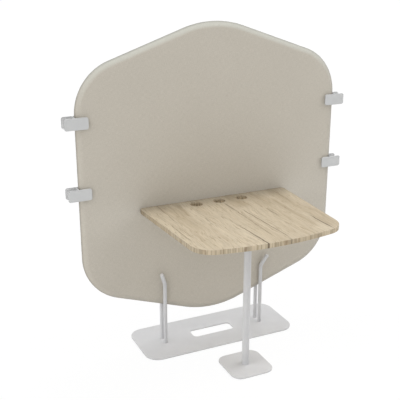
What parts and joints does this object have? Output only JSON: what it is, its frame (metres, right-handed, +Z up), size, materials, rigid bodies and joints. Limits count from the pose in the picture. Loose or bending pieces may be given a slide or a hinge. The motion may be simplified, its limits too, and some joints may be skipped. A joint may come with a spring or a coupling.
{
  "type": "desk with privacy screen",
  "caption": "Oak desktop on a single leg, joined to a padded six-sided privacy screen that stands between bent bars on a flat steel base, with link clips on its edges.",
  "frame": {"origin": "on the floor, under the middle of the whole object's box", "axes": "+Z up, +X along the screen to the right as seen from the desk, +Y from the desk to the back of the screen"},
  "size_m": [1.443, 0.8084, 1.578],
  "materials": {
    "powder_coat": "fine satin powder coat, light grey",
    "oak": "light oak, matt",
    "screen_fabric": "fine woven greige upholstery fabric",
    "padding": "felt and foam padding",
    "core_board": "plain board",
    "steel": "zinc plated",
    "pad_rubber": "matt",
    "clip_plastic": "light grey moulded plastic",
    "grip_rubber": "matt"
  },
  "bodies": {
    "desk_and_screen": {"base_plate": "powder_coat", "rod_front_left": "powder_coat", "rod_front_right": "powder_coat", "rod_rear_left": "powder_coat", "rod_rear_right": "powder_coat", "leg_tube": "powder_coat", "leg_top_plate": "powder_coat", "foot_plate": "powder_coat", "desk_bracket_left": "powder_coat", "desk_bracket_right": "powder_coat", "desktop": "oak", "front_cover": "screen_fabric", "rear_cover": "screen_fabric", "front_foam": "padding", "rear_foam": "padding", "infill_left": "padding", "infill_middle": "padding", "infill_right": "padding", "screen_frame": "core_board", "rod_screws": "steel", "clamp_bolts": "steel", "clamp_sleeves": "steel", "bracket_inserts": "steel", "bracket_bolts": "steel", "bracket_screws": "steel", "leg_plate_screws": "steel", "leg_top_screw": "steel", "foot_screw": "steel", "leg_top_plug": "steel", "leg_bottom_plug": "steel", "base_pads": "pad_rubber", "foot_pads": "pad_rubber"},
    "left_upper_clip": {"clip_left_upper": "clip_plastic", "clip_liner_left_upper": "grip_rubber"},
    "left_lower_clip": {"clip_left_lower": "clip_plastic", "clip_liner_left_lower": "grip_rubber"},
    "right_upper_clip": {"clip_right_upper": "clip_plastic", "clip_liner_right_upper": "grip_rubber"},
    "right_lower_clip": {"clip_right_lower": "clip_plastic", "clip_liner_right_lower": "grip_rubber"}
  },
  "joints": [
    {"name": "left_upper_clip_slide", "type": "slide", "parent": "desk_and_screen", "child": "left_upper_clip", "axis": [-1, 0, 0], "range_m": [0, 0.058]},
    {"name": "left_lower_clip_slide", "type": "slide", "parent": "desk_and_screen", "child": "left_lower_clip", "axis": [-1, 0, 0], "range_m": [0, 0.058]},
    {"name": "right_upper_clip_slide", "type": "slide", "parent": "desk_and_screen", "child": "right_upper_clip", "axis": [1, 0, 0], "range_m": [0, 0.058]},
    {"name": "right_lower_clip_slide", "type": "slide", "parent": "desk_and_screen", "child": "right_lower_clip", "axis": [1, 0, 0], "range_m": [0, 0.058]}
  ]
}
